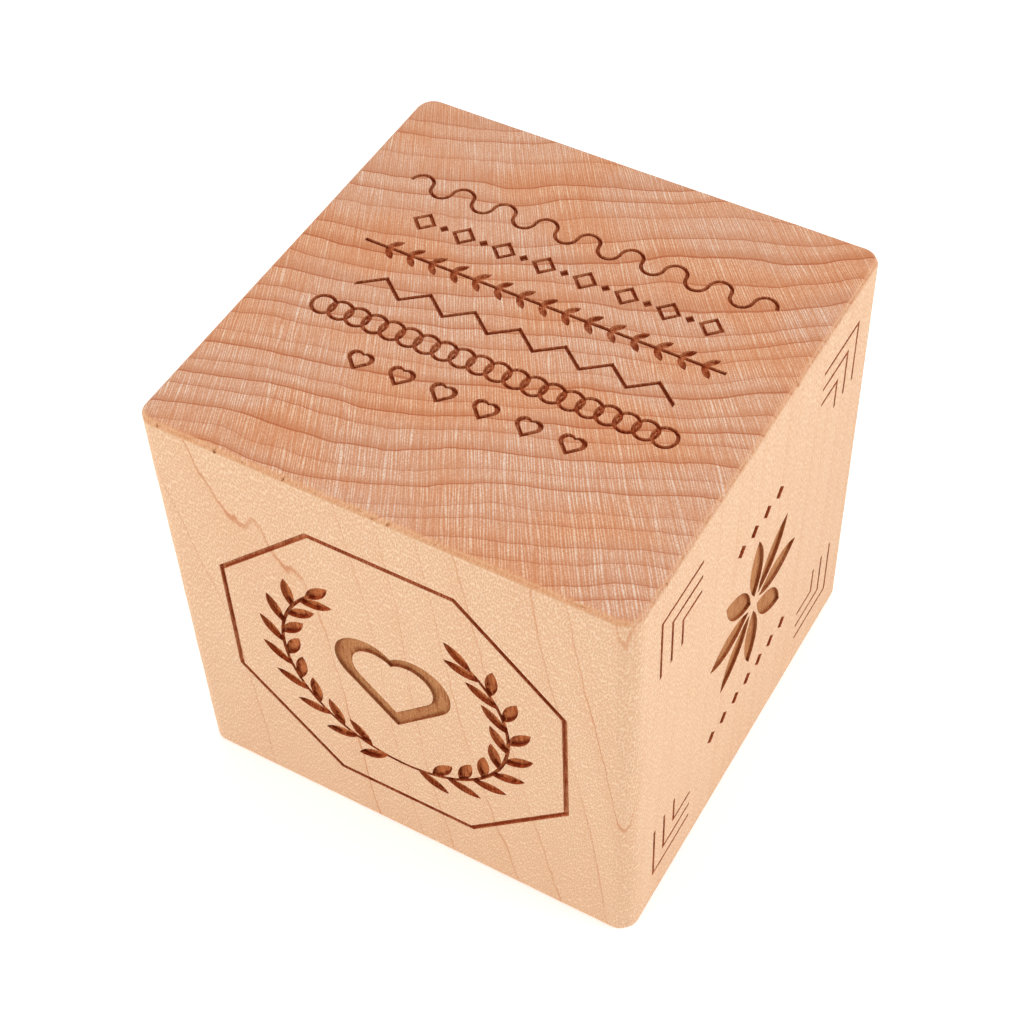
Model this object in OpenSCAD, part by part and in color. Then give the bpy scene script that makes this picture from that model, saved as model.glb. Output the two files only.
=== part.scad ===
// Wooden keepsake block: one cube of solid maple with the end grain on top and underneath,
// its upright edges rounded over, its end edges eased, and ornament engraved into three faces.
// Millimetres, +Z up. The origin is the middle of the face that it stands on, and -Y is its front.

/* [Block] */
// Width of the block, along X
block_w = 63.5; // [56:0.5:90]
// Depth of the block, along Y
block_d = 63.5; // [56:0.5:90]
// Height of the block, along the grain
block_h = 63.5; // [58:0.5:90]
// Radius of the four upright edges
upright_r = 2.4; // [1:0.1:4]
// Radius of the sanded edges round the top and the bottom
end_ease = 0.8; // [0.2:0.1:0.9]

/* [Engraving] */
// Depth of thin lines
line_depth = 0.5; // [0.2:0.05:1]
// Depth of the wreath
leaf_depth = 0.6; // [0.2:0.05:1]
// Depth of broad figures
bold_depth = 0.4; // [0.2:0.05:1]

/* [Front face] */
// Size of the eight-sided frame, flat to flat
frame_across = 47; // [43:0.5:50]
// Width of the frame's line
frame_line = 0.7; // [0.3:0.1:1.5]
// Radius of the wreath's stem
wreath_r = 15.6; // [14:0.2:17]
// Width of the stem
stem_line = 0.5; // [0.3:0.1:0.9]
// Angle that the stem climbs on either side, from the bottom of the wreath
stem_sweep = 136; // [100:1:140]
// Leaves on either side of the wreath, left and right of the stem by turns
leaf_count = 16; // [8:2:18]
// Length of a leaf
leaf_len = 5; // [3:0.1:5.4]
// Width of a leaf
leaf_w = 1.7; // [0.8:0.1:2.2]
// Angle of a leaf from the stem
leaf_splay = 36; // [25:1:50]
// Width of the heart
heart_w = 16; // [10:0.5:18]
// Width of the heart's line
heart_line = 1.9; // [0.8:0.1:2.2]

/* [Top face] */
// Distance from one row of ornament to the next
row_pitch = 5.9; // [5.2:0.1:6.4]
// Height of a row
row_h = 3.4; // [2.8:0.1:4]
// Width of the lines in the rows
row_line = 0.5; // [0.3:0.05:0.7]
// How far the rows sit towards the back
rows_back = 2; // [-4:0.5:4]
// Half waves in the running wave
wave_count = 17; // [8:1:18]
// Lozenges in the row of lozenges
lozenge_count = 8; // [4:1:8]
// Size of the small filled lozenges between them
bead_size = 1.3; // [0.8:0.1:1.6]
// Bare wood between a lozenge and a small one
bead_gap = 0.4; // [0.2:0.05:0.6]
// Leaf pairs on the vine
vine_count = 15; // [6:1:16]
// Distance from one leaf pair to the next
vine_step = 3; // [2.6:0.1:3.2]
// Length of a leaf on the vine
vine_leaf_len = 2.3; // [1.6:0.1:2.5]
// Width of a leaf on the vine
vine_leaf_w = 0.9; // [0.6:0.05:1]
// Angle of a leaf from the vine
vine_splay = 45; // [30:1:60]
// Straight runs in the zigzag
zigzag_count = 14; // [6:1:15]
// Length of the row that one run takes up
zigzag_step = 3; // [2.4:0.1:3.4]
// Rings in the chain
chain_count = 20; // [6:1:21]
// Distance from one ring to the next
chain_step = 2.35; // [2:0.05:2.5]
// Small hearts in the last row
small_heart_count = 6; // [2:1:9]
// Distance from one small heart to the next
small_heart_step = 5.5; // [4.4:0.1:5.8]

/* [Right face] */
// Petals in the rosette
petal_count = 8; // [5:1:10]
// Length of a petal
petal_len = 10.5; // [8:0.1:11]
// Width of a petal
petal_w = 3.6; // [2:0.1:4]
// Distance of the petals' feet from the rosette's middle
petal_start = 1.4; // [1:0.1:2.5]
// Size of the lozenges in the short rows above and below
strip_lozenge = 2.2; // [1.4:0.1:2.8]
// Distance from one of these lozenges to the next
strip_step = 3.4; // [3:0.1:3.8]
// Distance of the short rows from the face's middle
strip_rise = 15.5; // [13:0.5:18]
// Lozenges in the row above
upper_count = 4; // [1:1:6]
// Lozenges in the row below
lower_count = 7; // [1:1:8]
// Length of the longest corner bracket's arms
bracket_arm = 10; // [9:0.5:11]
// Step from one bracket to the next one inside it
bracket_step = 2.6; // [1.5:0.1:2.8]
// Brackets in each corner
bracket_count = 3; // [1:1:3]
// Width of a bracket's line
bracket_line = 0.5; // [0.3:0.05:0.8]
// Distance of the brackets from the edges of the face
bracket_margin = 6; // [5:0.5:8]

/* [Hidden] */
$fn = 48;

// How far a cutter stands out of the face that it cuts
overcut = 1;
// Straight parts of the block between its rounded upright edges
straight_w = block_w - 2 * upright_r;
straight_d = block_d - 2 * upright_r;
// A line at 45 degrees takes up this many times its width along X or Y
slant = sqrt(2);
// A heart's inner outline has sides shorter by this many times its line, which is then widest at the lobes
heart_shrink = 1.5;

// Places on a face: x runs to the right and y upwards as seen from outside, and z out of the face

module on_top() {
  translate([0, 0, block_h]) children();
}

module on_front() {
  translate([0, -block_d / 2, block_h / 2]) rotate([90, 0, 0]) children();
}

module on_right() {
  translate([block_w / 2, 0, block_h / 2]) rotate([90, 0, 90]) children();
}

// Cutter that sinks a flat outline into a face
module sunk(depth) {
  translate([0, 0, -depth]) linear_extrude(depth + overcut) children();
}

// Copies in a row along X, centred on the origin
module in_row(count, step) {
  for (i = [0:count - 1]) translate([(i - (count - 1) / 2) * step, 0]) children();
}

// Flat outlines that the ornament is drawn with

// Pointed leaf between two arcs, from its foot at the origin to its tip on +X
module leaf(length, width) {
  arc_r = (length * length + width * width) / (4 * width);
  intersection() {
    translate([length / 2, arc_r - width / 2]) circle(arc_r);
    translate([length / 2, width / 2 - arc_r]) circle(arc_r);
  }
}

// Ring drawn as one line, with r at the middle of the line
module ring(r, line) {
  difference() {
    circle(r + line / 2);
    circle(r - line / 2);
  }
}

// Stretch of such a ring from one angle to another, up to 280 degrees apart
module arc_line(r, from, to, line) {
  reach = 2 * r;
  steps = 3;
  intersection() {
    ring(r, line);
    polygon([[0, 0], for (i = [0:steps]) let (t = from + (to - from) * i / steps) reach * [cos(t), sin(t)]]);
  }
}

// Filled heart with its point down. inset draws a smaller one, whose straight sides lie that far inside
module heart(width, inset = 0) {
  // Turned by 45 degrees, a heart is a square with half discs on two of its sides
  full_side = width / (1 + 1 / slant);
  side = full_side - heart_shrink * inset;
  lobe_r = side / 2;
  middle = full_side * (3 + slant) / 8;
  rotate(45) translate([inset - middle, inset - middle]) {
    polygon([[0, 0], [side, 0], [side, lobe_r], [lobe_r, side], [0, side]]);
    translate([side, lobe_r]) circle(lobe_r);
    translate([lobe_r, side]) circle(lobe_r);
  }
}

// Heart drawn as one line
module heart_line_art(width, line) {
  difference() {
    heart(width);
    heart(width, line);
  }
}

// Square that stands on its point
module lozenge(across) {
  circle(across / 2, $fn = 4);
}

// Lozenge drawn as one line
module lozenge_line_art(across, line) {
  difference() {
    lozenge(across);
    lozenge(across - 2 * slant * line);
  }
}

// Ornament on the front: a heart in a wreath, in an eight-sided frame

module frame_outline() {
  sides = 8;
  to_corner = 1 / cos(180 / sides);
  rotate(180 / sides) difference() {
    circle(frame_across / 2 * to_corner, $fn = sides);
    circle((frame_across / 2 - frame_line) * to_corner, $fn = sides);
  }
}

// Leaf at an angle along the right-hand stem, turned from the stem by splay
module stem_leaf(climb, splay) {
  rotate(climb - 90) translate([wreath_r, 0]) rotate(90 + splay) leaf(leaf_len, leaf_w);
}

module wreath_outline() {
  step = stem_sweep / (leaf_count + 1);
  arc_line(wreath_r, -90 - stem_sweep, -90 + stem_sweep, stem_line);
  for (side = [0, 1]) mirror([side, 0]) {
    for (i = [1:leaf_count]) stem_leaf(i * step, i % 2 == 0 ? leaf_splay : -leaf_splay);
    stem_leaf(stem_sweep - step / 4, 0);
  }
}

module front_engraving() {
  on_front() {
    sunk(line_depth) frame_outline();
    sunk(leaf_depth) wreath_outline();
    sunk(bold_depth) heart_line_art(heart_w, heart_line);
  }
}

// Ornament on the top: six rows of border patterns

module row_of_waves() {
  r = (row_h - row_line) / 2;
  for (i = [0:wave_count - 1]) {
    from = i % 2 == 0 ? 0 : 180;
    translate([(i - (wave_count - 1) / 2) * 2 * r, 0]) arc_line(r, from, from + 180, row_line);
  }
}

module row_of_lozenges() {
  step = row_h + bead_size + 2 * bead_gap;
  in_row(lozenge_count, step) lozenge_line_art(row_h, row_line);
  in_row(lozenge_count - 1, step) lozenge(bead_size);
}

module row_of_leaves() {
  square([(vine_count + 1) * vine_step, row_line], center = true);
  in_row(vine_count, vine_step) for (side = [-1, 1]) rotate(side * vine_splay) leaf(vine_leaf_len, vine_leaf_w);
}

module zigzag_row() {
  rise = row_h / 2 - row_line;
  half = row_line / 2 * norm([zigzag_step, 2 * rise]) / zigzag_step;
  turns = [for (i = [0:zigzag_count]) [(i - zigzag_count / 2) * zigzag_step, i % 2 == 0 ? -rise : rise]];
  upper = [for (p = turns) p + [0, half]];
  lower = [for (i = [zigzag_count:-1:0]) turns[i] - [0, half]];
  polygon(concat(upper, lower));
}

module row_of_rings() {
  in_row(chain_count, chain_step) ring((row_h - row_line) / 2, row_line);
}

module row_of_hearts() {
  in_row(small_heart_count, small_heart_step) heart_line_art(row_h, row_line);
}

// Outline in the row of that number, counted from 0 at the back
module top_row(number) {
  rows = 6;
  translate([0, rows_back + ((rows - 1) / 2 - number) * row_pitch, 0]) sunk(line_depth) children();
}

module top_engraving() {
  on_top() {
    top_row(0) row_of_waves();
    top_row(1) row_of_lozenges();
    top_row(2) row_of_leaves();
    top_row(3) zigzag_row();
    top_row(4) row_of_rings();
    top_row(5) row_of_hearts();
  }
}

// Ornament on the right: a rosette between two short rows, with brackets in the corners

module rosette() {
  for (i = [0:petal_count - 1]) rotate(90 + 360 * i / petal_count)
    translate([petal_start, 0]) leaf(petal_len, petal_w);
}

// Nested brackets whose corners point to +X +Y, with the outermost corner at the origin
module brackets() {
  for (i = [0:bracket_count - 1]) {
    inset = i * bracket_step;
    arm = bracket_arm - inset;
    translate([-bracket_arm, -bracket_arm]) difference() {
      square(arm);
      square(arm - bracket_line);
    }
  }
}

module right_engraving() {
  on_right() {
    sunk(bold_depth) rosette();
    sunk(line_depth) translate([0, strip_rise]) in_row(upper_count, strip_step) lozenge(strip_lozenge);
    sunk(line_depth) translate([0, -strip_rise]) in_row(lower_count, strip_step) lozenge(strip_lozenge);
    for (x = [0, 1], y = [0, 1]) mirror([x, 0, 0]) mirror([0, y, 0])
      translate([block_d / 2 - bracket_margin, block_h / 2 - bracket_margin, 0]) sunk(line_depth) brackets();
  }
}

// The block before it is engraved

// Section through one rounded edge, from the straight part outwards
module edge_section() {
  inner = upright_r - end_ease;
  square([inner, block_h]);
  translate([0, end_ease]) square([upright_r, block_h - 2 * end_ease]);
  for (z = [end_ease, block_h - end_ease]) translate([inner, z]) circle(end_ease);
}

// Outer strip of a side, on +X
module side_strip(length) {
  rotate([90, 0, 0]) linear_extrude(length, center = true) edge_section();
}

module plain_block() {
  translate([-straight_w / 2, -straight_d / 2, 0]) cube([straight_w, straight_d, block_h]);
  for (turn = [0, 180]) rotate(turn) {
    translate([straight_w / 2, 0, 0]) side_strip(straight_d);
    translate([0, straight_d / 2, 0]) rotate(90) side_strip(straight_w);
    translate([straight_w / 2, straight_d / 2, 0]) rotate_extrude(angle = 90) edge_section();
    translate([-straight_w / 2, straight_d / 2, 0]) rotate(90) rotate_extrude(angle = 90) edge_section();
  }
}

module maple_block() {
  color("burlywood") difference() {
    plain_block();
    front_engraving();
    top_engraving();
    right_engraving();
  }
}

maple_block();
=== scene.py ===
# %% [markdown]
# # A keepsake block of solid maple
#
# The real object is one cube of hard maple with ornament burnt into three of its faces.
# There is nothing to assemble, so this lesson is about three other things: a shape that
# keeps its exact size but gains the soft edges and small chips of handled wood, a wood that
# is solid all the way through, and a soft light that shows both.

# %% Load the frame
import math
import random

import bmesh
import bpy
from mathutils import Matrix, Vector, noise
from mathutils.bvhtree import BVHTree


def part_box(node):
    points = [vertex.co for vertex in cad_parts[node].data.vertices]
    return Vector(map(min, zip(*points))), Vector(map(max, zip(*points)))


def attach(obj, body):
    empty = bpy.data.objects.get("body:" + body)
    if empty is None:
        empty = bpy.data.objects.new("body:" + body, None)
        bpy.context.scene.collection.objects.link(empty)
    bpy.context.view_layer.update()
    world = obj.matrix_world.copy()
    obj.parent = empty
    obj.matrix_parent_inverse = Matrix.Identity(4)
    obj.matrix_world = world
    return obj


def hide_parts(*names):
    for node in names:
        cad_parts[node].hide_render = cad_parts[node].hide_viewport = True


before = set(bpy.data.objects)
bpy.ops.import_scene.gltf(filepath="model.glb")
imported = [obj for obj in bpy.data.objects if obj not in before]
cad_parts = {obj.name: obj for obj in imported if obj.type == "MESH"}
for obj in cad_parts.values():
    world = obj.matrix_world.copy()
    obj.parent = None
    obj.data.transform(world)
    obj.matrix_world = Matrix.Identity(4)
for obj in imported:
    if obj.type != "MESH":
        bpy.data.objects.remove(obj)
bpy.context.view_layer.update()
low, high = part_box("maple_block")
side = high.x - low.x
middle = (low + high) / 2
MM = 0.001
print("block from", [round(v / MM, 2) for v in low], "to", [round(v / MM, 2) for v in high], "mm")

# %% [markdown]
# ## The camera
#
# A photograph of a cube says where its camera stood: the edges of each face run to a
# vanishing point, and three of those fix the lens and the turn of the camera. The values
# below were solved that way, as a place in units of the block's side and three angles.
# Setting a camera by eye would work too, but every error would show as a skewed edge.

# %% Camera at the photograph's place
PICTURE_PIXELS = 1024
FOCAL_PIXELS = 2089
SENSOR_MM = 36.0
NEAREST_SEEN = 0.01
camera_azimuth = math.radians(31.85)
camera_elevation = math.radians(49.77)
camera_roll = math.radians(2.75)
camera_place = Vector((1.3959, -2.3002, 3.6741)) * side


def turned(azimuth, elevation, roll=0.0):
    """Turn of something that faces the block from a direction: its right, up and backward."""
    backward = Vector((
        math.sin(azimuth) * math.cos(elevation),
        -math.cos(azimuth) * math.cos(elevation),
        math.sin(elevation),
    ))
    right = Vector((0, 0, 1)).cross(backward).normalized()
    up = backward.cross(right)
    rolled_right = math.cos(roll) * right - math.sin(roll) * up
    rolled_up = math.sin(roll) * right + math.cos(roll) * up
    return Matrix((rolled_right, rolled_up, backward)).transposed()


camera = bpy.data.objects.new("photo_camera", bpy.data.cameras.new("photo_camera"))
camera.data.sensor_width = SENSOR_MM
camera.data.lens = SENSOR_MM * FOCAL_PIXELS / PICTURE_PIXELS
camera.data.clip_start = NEAREST_SEEN
camera_turn = turned(camera_azimuth, camera_elevation, camera_roll)
camera.matrix_world = Matrix.Translation(camera_place) @ camera_turn.to_4x4()
bpy.context.scene.collection.objects.link(camera)
bpy.context.scene.camera = camera
print("lens", round(camera.data.lens, 2), "mm at", [round(v, 4) for v in camera_place])

# %% [markdown]
# ## The block's own mesh
#
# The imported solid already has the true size, the rounded edges and every engraved recess, so
# the visual block starts as a copy of its mesh. Modelling a second cube would only risk a
# second size. The copy arrives with its corners split for shading, so equal points are
# welded first: the later cuts need one closed skin.

# %% Copy and weld the solid
WELD = 0.0005 * MM
block = bpy.data.objects.new("engraved_block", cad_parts["maple_block"].data.copy())
bpy.context.scene.collection.objects.link(block)
block.data.materials.clear()
if "custom_normal" in block.data.attributes:
    block.data.attributes.remove(block.data.attributes["custom_normal"])

skin = bmesh.new()
skin.from_mesh(block.data)
bmesh.ops.remove_doubles(skin, verts=skin.verts, dist=WELD)
bmesh.ops.dissolve_degenerate(skin, edges=skin.edges, dist=WELD)
open_edges = sum(1 for edge in skin.edges if not edge.is_manifold)
print(len(skin.faces), "faces,", open_edges, "open edges")

# %% [markdown]
# ## Edges that a hand has sanded
#
# On the real block the machined edges were eased by hand, so no edge is quite straight. The
# solid's edges are long thin strips with no points along them. They are cut into short
# lengths here, each point is put back on the exact rounded form, and then it is pushed in a
# little by smooth noise. Points only ever move inwards, so the block never outgrows its box.

# %% The exact rounded form
UPRIGHT_ROUND = 2.4 * MM
END_EASE = 0.8 * MM
half = (high - low) / 2


def depth_outside(point):
    """Distance of a point from the plain rounded block, negative inside it."""
    across = [abs(point[i] - middle[i]) - half[i] + UPRIGHT_ROUND for i in (0, 1)]
    plan = Vector([max(a, 0) for a in across]).length + min(max(across), 0) - UPRIGHT_ROUND
    upright = abs(point.z - middle.z) - half.z
    corner = (plan + END_EASE, upright + END_EASE)
    return Vector([max(c, 0) for c in corner]).length + min(max(corner), 0) - END_EASE


def outward(point):
    """Direction straight out of the plain rounded block at a point."""
    reach = 0.01 * MM
    slopes = []
    for axis in range(3):
        step = Vector((0, 0, 0))
        step[axis] = reach
        slopes.append(depth_outside(point + step) - depth_outside(point - step))
    return Vector(slopes).normalized()


print("upright edges rounded to", UPRIGHT_ROUND / MM, "mm, end edges to", END_EASE / MM, "mm")

# %% Cut the edge strips and wear them
CUT_LENGTH = 0.9 * MM
LONG_EDGE = 10 * MM
SQUARE_TO_AXIS = 0.9999
SAME_PLANE = math.radians(0.5)
RECESS_STARTS = 0.05 * MM
LONG_WEAR = (0.12 * MM, 7.0 * MM)
SHORT_WEAR = (0.08 * MM, 1.5 * MM)


def rounded_edge_faces():
    """Faces of the rounded edges: those that lie square to no axis and in no recess."""
    return {
        face
        for face in skin.faces
        if max(abs(v) for v in face.normal) < SQUARE_TO_AXIS
        and depth_outside(face.calc_center_median()) > -RECESS_STARTS
    }


def edges_within(faces):
    """Edges that have a face of the set on both sides, in order, so that every run cuts alike."""
    skin.edges.index_update()
    inner = {edge for face in faces for edge in face.edges if faces.issuperset(edge.link_faces)}
    return sorted(inner, key=lambda edge: edge.index)


def wear(point, normal):
    """How far sanding took the edge down at a point: nothing on the flat faces."""
    ridge = (1 - max(abs(v) for v in normal)) / (1 - math.sqrt(0.5))
    taken = 0.0
    for amount, length in (LONG_WEAR, SHORT_WEAR):
        taken += amount * (0.5 + 0.5 * noise.noise(point / length))
    return min(ridge, 1.0) * taken


diagonals = [e for e in edges_within(rounded_edge_faces()) if e.calc_face_angle() < SAME_PLANE]
bmesh.ops.dissolve_edges(skin, edges=diagonals)
strips = rounded_edge_faces()
long_edges = [
    edge
    for edge in skin.edges
    if edge.calc_length() > LONG_EDGE and strips.intersection(edge.link_faces)
]
bmesh.ops.subdivide_edges(skin, edges=long_edges, cuts=round(side / CUT_LENGTH))
short_edges = edges_within(rounded_edge_faces())
bmesh.ops.subdivide_edges(skin, edges=short_edges, cuts=1, use_grid_fill=True)
for vert in {v for face in rounded_edge_faces() for v in face.verts}:
    normal = outward(vert.co)
    vert.co -= normal * (depth_outside(vert.co) + wear(vert.co, normal))
skin.to_mesh(block.data)
skin.free()
print("edges cut and worn:", len(block.data.polygons), "faces")

# %% [markdown]
# ## Chips along the end-grain edges
#
# Where the saw leaves the end grain, a few fibres break out along the edge. Most leave a small
# slit that runs down the grain, and some take a thin flake with them. They are too sharp for
# smooth noise, so each is a lumpy splinter that a Boolean takes out of the block. Painting
# them on would look right from one side only. The faces that the splinters leave carry a
# mark, `torn`, that gives each nick a painted shade, and the seed keeps each nick in its place.

# %% Make the splinters
NICK_CELL = 1.9 * MM
NICK_SPOT = (0.4, 0.6)
TOP_SHARE = 0.24
BOTTOM_SHARE = 0.12
SLIT = Vector((0.25, 0.30, 0.50)) * MM
FLAKE = Vector((1.1, 0.30, 0.35)) * MM
SPLINTER_SCALE = (0.4, 1.4)
SPLINTER_BITE = (0.04, 0.12)
SPLINTER_LEAN = (-0.3, 0.3)
LUMP_HEIGHT = 0.6
LUMPS = 2.4
nick_draw = random.Random(41)


def add_splinter(splinters, place, along):
    """One lumpy splinter at a place on an end edge: a slit down the grain, or a flake along it."""
    face_out = outward(Vector((place.x, place.y, middle.z)))
    rise = Vector((0, 0, math.copysign(1, place.z - middle.z)))
    out = (face_out + rise).normalized()
    reach = nick_draw.choice((SLIT, FLAKE)) * nick_draw.uniform(*SPLINTER_SCALE)
    bite = nick_draw.uniform(*SPLINTER_BITE) * MM
    centre = place - out * (depth_outside(place) + bite - reach.y)
    lean = (along + nick_draw.uniform(*SPLINTER_LEAN) * rise).normalized()
    axes = (lean, face_out, lean.cross(face_out))
    made = bmesh.ops.create_icosphere(splinters, subdivisions=3, radius=1.0)
    for vert in made["verts"]:
        lump = 1 + LUMP_HEIGHT * noise.noise(LUMPS * vert.co + centre / MM)
        local = Vector([vert.co[i] * reach[i] * lump for i in range(3)])
        vert.co = centre + sum((axes[i] * local[i] for i in range(3)), Vector())


splinters = bmesh.new()
nicks = 0
for level, share in ((high.z, TOP_SHARE), (low.z, BOTTOM_SHARE)):
    for corner, along in (
        (Vector((low.x, low.y, level)), Vector((1, 0, 0))),
        (Vector((high.x, low.y, level)), Vector((0, 1, 0))),
        (Vector((high.x, high.y, level)), Vector((-1, 0, 0))),
        (Vector((low.x, high.y, level)), Vector((0, -1, 0))),
    ):
        for cell in range(int((side - 2 * UPRIGHT_ROUND) / NICK_CELL)):
            spot = UPRIGHT_ROUND + (cell + nick_draw.uniform(*NICK_SPOT)) * NICK_CELL
            if nick_draw.random() < share:
                add_splinter(splinters, corner + along * spot, along)
                nicks += 1
cutter = bpy.data.objects.new("splinters", bpy.data.meshes.new("splinters"))
splinters.to_mesh(cutter.data)
splinters.free()
bpy.context.scene.collection.objects.link(cutter)
print(nicks, "nicks to cut")

# %% Cut the nicks
for mesh, torn in ((block.data, 0.0), (cutter.data, 1.0)):
    mark = mesh.attributes.new("torn", "FLOAT", "FACE")
    mark.data.foreach_set("value", [torn] * len(mesh.polygons))
chipping = block.modifiers.new("chipping", "BOOLEAN")
chipping.operation = "DIFFERENCE"
chipping.solver = "MANIFOLD"
chipping.object = cutter
graph = bpy.context.evaluated_depsgraph_get()
chipped = bpy.data.meshes.new_from_object(block.evaluated_get(graph))
block.modifiers.clear()
block.data = chipped
bpy.data.objects.remove(cutter)
torn_faces = sum(1 for mark in block.data.attributes["torn"].data if mark.value > 0)
print("nicked block:", len(block.data.polygons), "faces,", torn_faces, "of them torn")

# %% [markdown]
# ## Shader sums as Python
#
# Wood is easiest to describe as arithmetic: how far is this point from the middle of the
# tree, and which part of a year's growth is that? Wiring such sums by hand hides them in a
# web of nodes. This small class wraps one socket, so that `1 - mask` or `radius / width`
# adds the Math node by itself, and its `node` method makes every other kind of node.


# %% One class for sockets
class Wire:
    """An output socket that can be used in sums. Wire.tree is the node tree being filled."""

    tree = None

    def __init__(self, socket):
        self.socket = socket

    @classmethod
    def node(cls, kind, settings=None, sockets=None, out=0):
        """A node of that kind: its settings first, then the values or links of its sockets."""
        made = cls.tree.nodes.new(kind)
        for name, value in (settings or {}).items():
            setattr(made, name, value)
        for name, value in (sockets or {}).items():
            if isinstance(value, Wire):
                cls.tree.links.new(value.socket, made.inputs[name])
            else:
                made.inputs[name].default_value = value
        return cls(made.outputs[out]) if len(made.outputs) else None

    def math(self, operation, *others):
        terms = dict(enumerate((self, *others)))
        return Wire.node("ShaderNodeMath", {"operation": operation}, terms)

    def __add__(self, other):
        return self.math("ADD", other)

    def __sub__(self, other):
        return self.math("SUBTRACT", other)

    def __rsub__(self, other):
        return Wire.node("ShaderNodeMath", {"operation": "SUBTRACT"}, {0: other, 1: self})

    def __mul__(self, other):
        return self.math("MULTIPLY", other)

    def __truediv__(self, other):
        return self.math("DIVIDE", other)

    def __pow__(self, other):
        return self.math("POWER", other)

    def __abs__(self):
        return self.math("ABSOLUTE")

    __radd__ = __add__
    __rmul__ = __mul__

    def step(self, start, end):
        """Eases from 0 to 1 as this value goes from start to end."""
        settings = {"interpolation_type": "SMOOTHSTEP"}
        return Wire.node("ShaderNodeMapRange", settings, {"Value": self, 1: start, 2: end})


# %% Mixes, noise and materials
SCATTER = 0.85


def mixed(factor, first, second, blend="MIX"):
    """Colour between two others, or one laid over the other by a blend."""
    settings = {"data_type": "RGBA", "blend_type": blend}
    return Wire.node("ShaderNodeMix", settings, {0: factor, 6: first, 7: second}, out=2)


def grain_noise(x, y, z, detail=1.0):
    """Soft random value around 0.5, with lumps about one unit apart."""
    place = Wire.node("ShaderNodeCombineXYZ", None, {0: x, 1: y, 2: z})
    sockets = {"Vector": place, "Scale": 1.0, "Detail": detail}
    return Wire.node("ShaderNodeTexNoise", None, sockets)


def grain_pits(x, y):
    """Distance from the nearest of many scattered points, about one unit apart."""
    place = Wire.node("ShaderNodeCombineXYZ", None, {0: x, 1: y})
    settings = {"voronoi_dimensions": "2D"}
    sockets = {"Vector": place, "Scale": 1.0, "Randomness": SCATTER}
    return Wire.node("ShaderNodeTexVoronoi", settings, sockets)


def new_material(name):
    """An empty material, set as the one being filled."""
    material = bpy.data.materials.new(name)
    material.use_nodes = True
    material.node_tree.nodes.clear()
    Wire.tree = material.node_tree
    return material


print("shader helpers ready")

# %% [markdown]
# ## Where a point lies in the tree
#
# The growth rings cross the top as flat arcs and run down the front as upright lines, so the
# board was sawn well away from the pith. One centre line explains both faces. Every point
# of the block gets a radius from that line, a way round it and a height up the trunk, and the
# rings and rays below are drawn from those three. A flat picture of grain on each face could
# never turn the corners like this.

# %% Radius, way round and height
PITH_X = -57.0
PITH_Y = 152.0
PITH_LEAN = 0.046
RAYS_X = -98.0
RAYS_Y = 154.0
RAYS_REACH = math.hypot(RAYS_X, RAYS_Y)
# Waves of the rings: their length across the trunk, their length up it, and their amount.
WANDER = (30, 140, 10.0)
RIPPLE = (6, 40, 1.2)
TREMOR = (1.2, 4, 0.2)


def tree_place():
    """Radius from the pith and way round the fan of rays, then the place in the block, in mm."""
    metres = Wire.node("ShaderNodeTexCoord", out="Object")
    place = Wire.node("ShaderNodeVectorMath", {"operation": "SCALE"}, {0: metres, "Scale": 1 / MM})
    x, y, z = (Wire.node("ShaderNodeSeparateXYZ", None, {0: place}, out=i) for i in range(3))
    radius = ((x - PITH_X) ** 2 + (y - PITH_Y - z * PITH_LEAN) ** 2) ** 0.5
    for across, upright, amount in (WANDER, RIPPLE, TREMOR):
        radius = radius + grain_noise(x / across, y / across, z / upright) * amount
    around = (y - RAYS_Y).math("ARCTAN2", x - RAYS_X) * RAYS_REACH
    return radius, around, x, y, z


print("pith", round(math.hypot(PITH_X, PITH_Y)), "mm from the block's middle")

# %% [markdown]
# ## Maple
#
# A year's ring starts pale, darkens slowly and ends in one thin reddish line. Rays cross the
# rings as pale threads on the end grain, and show on the sides as a fine pattern of short
# dashes that leans a little. End grain drinks in more of the oil, so it is darker and pinker,
# which a mask from the surface's own direction gives. An image of maple would hold all this
# at one scale and on one face only.

# %% Growth rings
FIRST_RADIUS = 138.0
FIRST_RING = 3.6
CROWDING = 0.00098
UNEVEN_OVER = 5
UNEVEN_BY = 1.3
FAINTEST_YEAR = 0.4


def growth_rings(radius):
    """Late wood of each year, the line that ends it, and that line's finest part."""
    out = radius - FIRST_RADIUS
    uneven = grain_noise(radius / UNEVEN_OVER, 0.0, 0.0) * UNEVEN_BY
    year = out / FIRST_RING + out**2 * CROWDING + uneven
    part = year.math("FRACT")
    settings = {"noise_dimensions": "1D"}
    chance = Wire.node("ShaderNodeTexWhiteNoise", settings, {"W": year.math("FLOOR")})
    strength = FAINTEST_YEAR + (1 - FAINTEST_YEAR) * chance
    before_end = 1 - part.step(0.985, 1.0)
    late = part.step(0.45, 0.95) * strength
    ring_line = part.step(0.91, 0.965) * before_end * strength
    hair_line = part.step(0.95, 0.98) * before_end * strength
    return late, ring_line, hair_line


print("rings start", FIRST_RING, "mm apart")

# %% [markdown]
# On the real block the cut rays cover the sides with short dashes, finer than a pencil line.
# They are drawn from the way along each face and the height. Two faces that meet at an edge
# would then mirror each other there, so the front and back read theirs at another height.
# The dashes are dark partly from their own tint and partly from painted shade, and the wood
# between them is lightened as a painted highlight.

# %% Rays and dashes
RAY_SPACING = 0.3
RAY_WAVER = 11
DASH_WIDTH = 0.15
DASH_LENGTH = 0.65
DASH_LEAN = 0.06
DASH_FAN = 0.004
FACES_APART = 300.5


def facing():
    """How far the surface faces right or left, front or back, and up or down, from 0 to 1."""
    normal = Wire.node("ShaderNodeTexCoord", out="Normal")
    return [abs(Wire.node("ShaderNodeSeparateXYZ", None, {0: normal}, out=i)) for i in range(3)]


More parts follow.
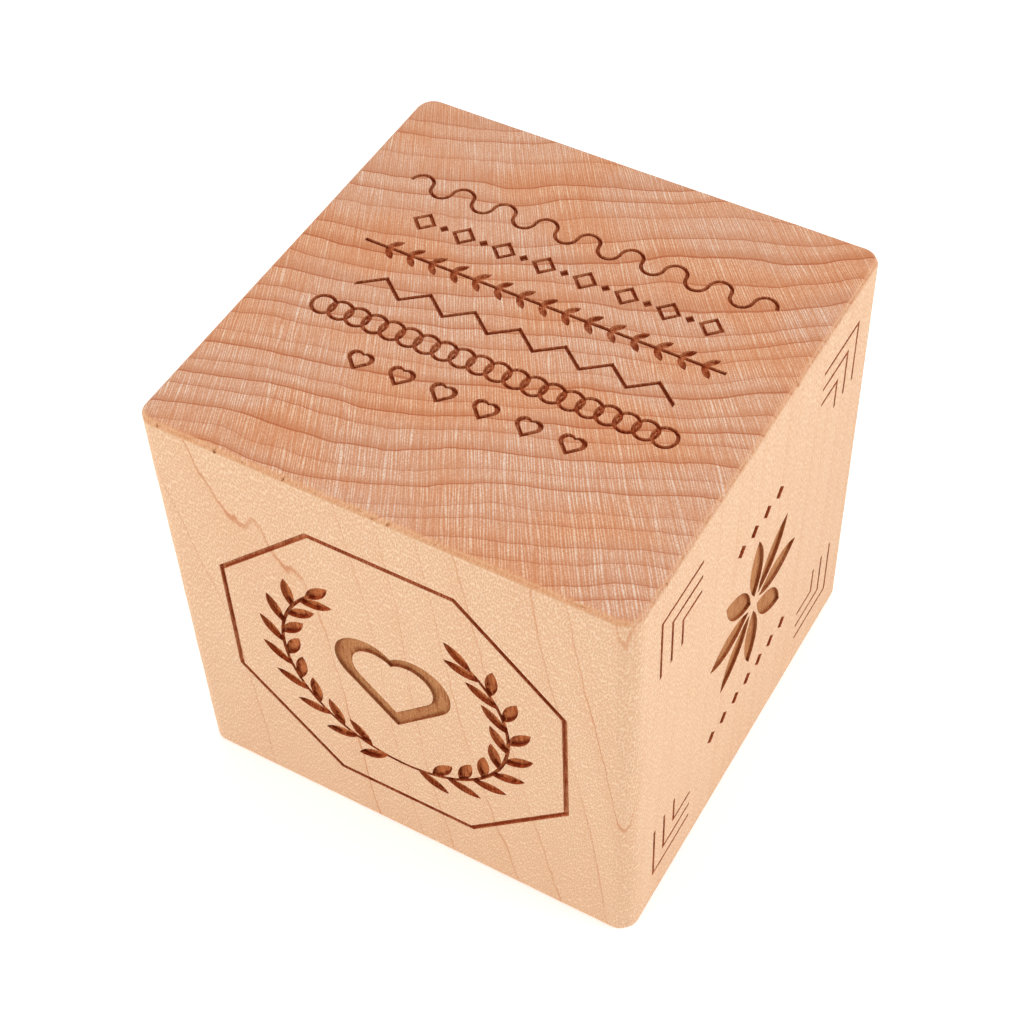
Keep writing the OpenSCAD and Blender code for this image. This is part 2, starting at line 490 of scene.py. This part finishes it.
def side_dashes(x, y, height, sideways, flat_cut):
    """Distance from the nearest of the short dashes that cover the sides."""
    on_front = flat_cut.math("GREATER_THAN", sideways)
    along = y + (x - y) * on_front
    leaning = along - height * (DASH_LEAN + along * DASH_FAN)
    return grain_pits(leaning / DASH_WIDTH, height / DASH_LENGTH + on_front * FACES_APART)


def end_rays(radius, around, height):
    """Pale threads across the rings: a wavering comb, broken along its length."""
    drift = grain_noise(around / 0.45, radius / 9, height / 2, detail=0.0) * RAY_WAVER
    comb = (around * (2 * math.pi / RAY_SPACING) + drift).math("SINE")
    broken = grain_noise(around / 0.3, radius / 4, height / 0.7)
    return comb.step(-0.4, 0.9) * (0.4 + 0.6 * broken.step(0.36, 0.6))


print("rays", RAY_SPACING, "mm apart, dashes", DASH_WIDTH, "by", DASH_LENGTH, "mm")

# %% Colours of the sides and the ends
SIDE_EARLY = (0.935, 0.62, 0.39, 1)
SIDE_LATE = (0.89, 0.535, 0.31, 1)
# Dash colour: the rays' own tint plus painted shade. The next colour is a painted highlight
# between dashes.
SIDE_DASH_AND_SHADE = (0.78, 0.42, 0.22, 1)
SIDE_PAINTED_HIGHLIGHT = (1.0, 0.755, 0.54, 1)
SIDE_LINE = (0.68, 0.25, 0.10, 1)
END_EARLY = (0.80, 0.40, 0.23, 1)
END_LATE = (0.65, 0.26, 0.12, 1)
END_PORE = (0.60, 0.24, 0.12, 1)
END_RAY = (0.99, 0.79, 0.64, 1)
END_LINE = (0.50, 0.13, 0.045, 1)
END_PATCH = (1.0, 0.88, 0.75, 1)


def side_colour(late, hair_line, dash_and_shade, painted_highlight):
    """Colour of wood cut along the grain, with painted shade in its dashes and a painted highlight
    between.
    """
    colour = mixed(late * 0.45, SIDE_EARLY, SIDE_LATE)
    # Dashes: their own tint and painted shade.
    colour = mixed(dash_and_shade * 0.78, colour, SIDE_DASH_AND_SHADE)
    # Painted highlight on the wood between the dashes.
    colour = mixed(painted_highlight * 0.42, colour, SIDE_PAINTED_HIGHLIGHT)
    return mixed(hair_line, colour, SIDE_LINE)


def end_colour(late, ring_line, rays, speckle, patch):
    """Colour of wood cut across the grain."""
    colour = mixed(late * 0.9, END_EARLY, END_LATE)
    colour = mixed((1 - speckle) * 0.55, colour, END_PORE)
    colour = mixed(rays, colour, END_RAY)
    colour = mixed(ring_line * 0.75, colour, END_LINE)
    return mixed(patch.step(0.4, 0.62), colour, END_PATCH, "MULTIPLY")


print("colours of the side grain and the end grain ready")

# %% The bare wood
PORE_WIDTH = 0.17
PORE_LENGTH = 5
FUZZ_PALE = (0.92, 0.50, 0.26, 1)
FUZZ_DARK = (0.72, 0.30, 0.13, 1)
CLOUD_TINT = (0.95, 0.85, 0.78, 1)
# Painted shade for the nicks: a darker brown on the faces that the splinters left.
PAINTED_NICK_SHADE = (0.76, 0.40, 0.18, 1)


def maple_grain(radius, around, x, y, height):
    """Colour of the bare wood, its relief, and the fine noise of its pores."""
    late, ring_line, hair_line = growth_rings(radius)
    sideways, flat_cut, up = facing()
    dashes = side_dashes(x, y, height, sideways, flat_cut)
    pores = grain_noise(around / PORE_WIDTH, radius / PORE_WIDTH, height / PORE_LENGTH, detail=0.0)
    cloud = grain_noise(around / 6, radius / 5, height / 20, detail=2.0)
    patch = grain_noise(around / 15, radius / 11, height / 60)
    clouded = cloud.step(0.35, 0.6)
    speckle = pores.step(0.32, 0.66)
    rays = end_rays(radius, around, height) * (0.6 + 0.4 * clouded)
    rays = rays * (0.5 + 0.5 * speckle) * (1 - late * 0.7)
    hair_line = hair_line * (0.3 + 0.6 * flat_cut.step(0.3, 0.9)) * (0.4 + 0.6 * clouded)
    # Dark dashes, partly their own tint and partly painted shade, and a painted highlight between
    # them.
    dash_and_shade = 1 - dashes.step(0.1, 0.55)
    painted_highlight = dashes.step(0.5, 0.8)

    frayed = up + (dashes - 0.5) * up * (1 - up) * 3
    end_grain = frayed.step(0.4, 0.8)
    eased = frayed.step(0.1, 0.35) * (1 - frayed.step(0.75, 0.99))
    fuzzy = eased * (0.25 + 0.5 * (flat_cut - sideways).step(-0.2, 0.4))
    sides = side_colour(late, hair_line, dash_and_shade, painted_highlight)
    ends = end_colour(late, ring_line, rays, speckle, patch)
    wood = mixed(end_grain, sides, ends)
    wood = mixed(fuzzy, wood, mixed(dash_and_shade, FUZZ_PALE, FUZZ_DARK))
    wood = mixed(cloud.step(0.3, 0.7) * 0.25, wood, CLOUD_TINT, "MULTIPLY")
    torn = Wire.node("ShaderNodeAttribute", {"attribute_name": "torn"}, out="Fac")
    # Painted shade in the nicks, on the faces marked torn.
    wood = mixed(torn * 0.5, wood, PAINTED_NICK_SHADE)
    relief = dashes * (1 - end_grain * 0.9) + 0.08 * rays * end_grain
    return wood, relief, pores


print("bare wood described")


# %% Sanded maple
def finish_material(colour, roughness, relief, depth, specular):
    """Shader and output of the material being filled, with a relief of that depth in metres."""
    bump = Wire.node("ShaderNodeBump", None, {"Height": relief, "Distance": depth})
    shader = Wire.node(
        "ShaderNodeBsdfPrincipled",
        None,
        {
            "Base Color": colour,
            "Roughness": roughness,
            "Normal": bump,
            "Specular IOR Level": specular,
        },
    )
    Wire.node("ShaderNodeOutputMaterial", None, {"Surface": shader})


maple = new_material("sanded_maple")
wood, relief, pores = maple_grain(*tree_place())
finish_material(wood, 0.5 + pores * 0.2, relief, depth=0.12 * MM, specular=0.25)
print("maple:", len(maple.node_tree.nodes), "nodes")

# %% [markdown]
# ## Burnt engraving
#
# The ornament is burnt into the wood, so the recess is not painted a flat brown: the grain
# still shows through it and the char is uneven. It is also darkest at the foot of the walls,
# which is painted shade. Each finish is the same maple seen through a brown tint, which
# keeps the warm red of real scorching where a mix towards black turns grey. How near the
# wall is comes from a value that the mesh carries at its points, set in the next step.


# %% Three strengths of char
def burnt_maple(name, pale, dark):
    """Maple seen through an uneven brown tint, from its pale patches to its dark ones."""
    material = new_material(name)
    radius, around, x, y, height = tree_place()
    wood, relief, pores = maple_grain(radius, around, x, y, height)
    cloud = grain_noise(around / 1.3, radius / 1.3, height / 2.2, detail=2.0)
    streak = grain_noise(around / 0.22, radius / 0.22, height / 2.5)
    painted_wall_shade = Wire.node("ShaderNodeAttribute", {"attribute_name": "painted_wall_shade"}, out="Fac")
    # Char strength: uneven cloud and streaks, plus painted shade towards the foot of the walls.
    strength = (0.35 * cloud + 0.55 * streak + 0.3 * painted_wall_shade).step(0.36, 0.68)
    scorched = mixed(1.0, wood, mixed(strength, pale, dark), "MULTIPLY")
    finish_material(scorched, 0.75 + pores * 0.2, relief + cloud, depth=0.1 * MM, specular=0.1)
    return material


finishes = [
    maple,
    burnt_maple("scorched_figure", pale=(0.62, 0.43, 0.28, 1), dark=(0.42, 0.22, 0.12, 1)),
    burnt_maple("burnt_line", pale=(0.82, 0.56, 0.41, 1), dark=(0.49, 0.185, 0.10, 1)),
    burnt_maple("burnt_leaf", pale=(0.72, 0.37, 0.20, 1), dark=(0.32, 0.09, 0.038, 1)),
]
block.data.materials.clear()
for finish in finishes:
    block.data.materials.append(finish)
print([finish.name for finish in finishes])

# %% [markdown]
# ## Which faces are burnt
#
# A recess is known by its depth: its faces lie just below the front, the top or the right
# face. Faces that touch each other there belong to one recess, and how deep that recess goes
# says which finish it takes. Picking faces by hand would break with the next change of shape.
# A floor is then cut across its width, so that it has points away from the walls, and each
# point notes how near the next wall is, which sets its painted shade.

# %% How recesses are known
DEEPEST = 0.8 * MM
MARGIN = 4 * MM
FINISH_BY_DEPTH = ((0.45 * MM, 1), (0.55 * MM, 2), (DEEPEST, 3))
# How far from the foot of a wall the painted shade reaches.
RIM_WIDTH = 0.35 * MM
BED_CUTS = 3
LEVEL = 0.01 * MM


def recess_depth(point):
    """How far a point lies below the engraved face it belongs to, or 0 if it is on none."""
    below = {0: high.x - point.x, 1: point.y - low.y, 2: high.z - point.z}
    for axis, depth in below.items():
        inside = all(low[i] + MARGIN < point[i] < high[i] - MARGIN for i in range(3) if i != axis)
        if inside and LEVEL < depth < DEEPEST:
            return depth
    return 0.0


def touching_groups(faces):
    """Lists of the faces that hang together, in the mesh's order."""
    waiting = set(faces)
    groups = []
    for first in faces:
        if first not in waiting:
            continue
        waiting.remove(first)
        group = [first]
        for face in group:
            touching = {f for e in face.edges for f in e.link_faces} & waiting
            waiting -= touching
            group.extend(sorted(touching, key=lambda face: face.index))
        groups.append(group)
    return groups


def search_tree(faces):
    """Tree that finds the nearest point on some faces."""
    points = []
    corners = []
    for face in faces:
        corners.append(range(len(points), len(points) + len(face.verts)))
        points.extend(vert.co.copy() for vert in face.verts)
    return BVHTree.FromPolygons(points, corners)


print("a recess is up to", DEEPEST / MM, "mm deep")

# %% Find the recesses and give them their finish
skin = bmesh.new()
skin.from_mesh(block.data)
painted_wall_shade = skin.verts.layers.float.new("painted_wall_shade")
recessed = [face for face in skin.faces if recess_depth(face.calc_center_median()) > 0]
recesses = touching_groups(recessed)
for group in recesses:
    depth = max(recess_depth(face.calc_center_median()) for face in group)
    finish = next(index for limit, index in FINISH_BY_DEPTH if depth < limit)
    for face in group:
        face.material_index = finish
    bed = {face for face in group if all(recess_depth(v.co) > depth - LEVEL for v in face.verts)}
    walls = search_tree(face for face in group if face not in bed)
    bmesh.ops.subdivide_edges(skin, edges=edges_within(bed), cuts=BED_CUTS)
    # Painted shade on the floor of the recess, strongest at the foot of the walls.
    for vert in {vert for face in bed for vert in face.verts}:
        distance = walls.find_nearest(vert.co)[3]
        vert[painted_wall_shade] = max(0.0, 1 - distance / RIM_WIDTH)
many_sided = [face for face in skin.faces if len(face.verts) > 4 and face.material_index]
bmesh.ops.triangulate(skin, faces=many_sided, ngon_method="BEAUTY")
for face in skin.faces:
    face.smooth = True
skin.to_mesh(block.data)
skin.free()
print(len(recesses), "recesses burnt")

# %% [markdown]
# ## Smooth edges, flat faces
#
# The rounded edges should shade as curves and the faces as planes. Edges that turn sharply
# are marked sharp, and a Weighted Normal modifier lets the large flat faces decide the shading
# where they meet the rounding, so no false gradient creeps over them.

# %% Shading of the block
SHARP = math.radians(32)
FLAT_WEIGHT = 80
block.data.set_sharp_from_angle(angle=SHARP)
weighted = block.modifiers.new("flat_faces_first", "WEIGHTED_NORMAL")
weighted.keep_sharp = True
weighted.weight = FLAT_WEIGHT
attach(block, "root")
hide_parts("maple_block")
print("block dressed with", len(block.data.materials), "finishes")

# %% [markdown]
# ## Floor and light
#
# The photograph is high key: a white sweep, and large soft lights from the left and the right
# with little from the camera's side. The floor is nearly white and glows a little, as paper
# lit from all sides does, so that only a faint shadow is left where the block stands.

# %% Floor
FLOOR_HALF = 6.0
PAPER_WHITE = (0.93, 0.93, 0.93, 1)
PAPER_GLOW = (0.95, 0.97, 1.0, 1)
GLOW_STRENGTH = 0.43
floor_mesh = bpy.data.meshes.new("studio_floor")
floor_mesh.from_pydata(
    [(x * FLOOR_HALF, y * FLOOR_HALF, low.z) for x, y in ((-1, -1), (1, -1), (1, 1), (-1, 1))],
    [],
    [(0, 1, 2, 3)],
)
floor = bpy.data.objects.new("studio_floor", floor_mesh)
bpy.context.scene.collection.objects.link(floor)
paper = new_material("studio_paper")
sheet = Wire.node(
    "ShaderNodeBsdfPrincipled",
    None,
    {
        "Base Color": PAPER_WHITE,
        "Roughness": 0.9,
        "Specular IOR Level": 0.0,
        "Emission Color": PAPER_GLOW,
        "Emission Strength": GLOW_STRENGTH,
    },
)
Wire.node("ShaderNodeOutputMaterial", None, {"Surface": sheet})
floor.data.materials.append(paper)
print("floor", 2 * FLOOR_HALF, "m wide")

# %% Lights
LIGHT_SIZE = 0.5
ROOM_STRENGTH = 0.38


def soft_light(name, azimuth, elevation, distance, power, colour):
    """Square soft light that faces the block from a direction, in degrees, like the camera's."""
    lamp = bpy.data.objects.new(name, bpy.data.lights.new(name, "AREA"))
    lamp.data.size = LIGHT_SIZE
    lamp.data.energy = power
    lamp.data.color = colour
    turn = turned(math.radians(azimuth), math.radians(elevation))
    lamp.matrix_world = Matrix.Translation(middle + turn.col[2] * distance) @ turn.to_4x4()
    bpy.context.scene.collection.objects.link(lamp)


soft_light("left_softbox", -40, 30, distance=0.7, power=2.1, colour=(1.0, 0.98, 0.94))
soft_light("right_softbox", 105, 30, distance=0.7, power=2.15, colour=(0.98, 0.98, 1.0))
soft_light("top_softbox", 200, 70, distance=0.8, power=1.25, colour=(1.0, 1.0, 1.0))
world = bpy.data.worlds.new("white_room")
world.use_nodes = True
room = world.node_tree.nodes["Background"]
room.inputs["Color"].default_value = (1, 1, 1, 1)
room.inputs["Strength"].default_value = ROOM_STRENGTH
bpy.context.scene.world = world
bpy.context.scene.view_settings.view_transform = "Standard"
print("three soft lights and a white room")
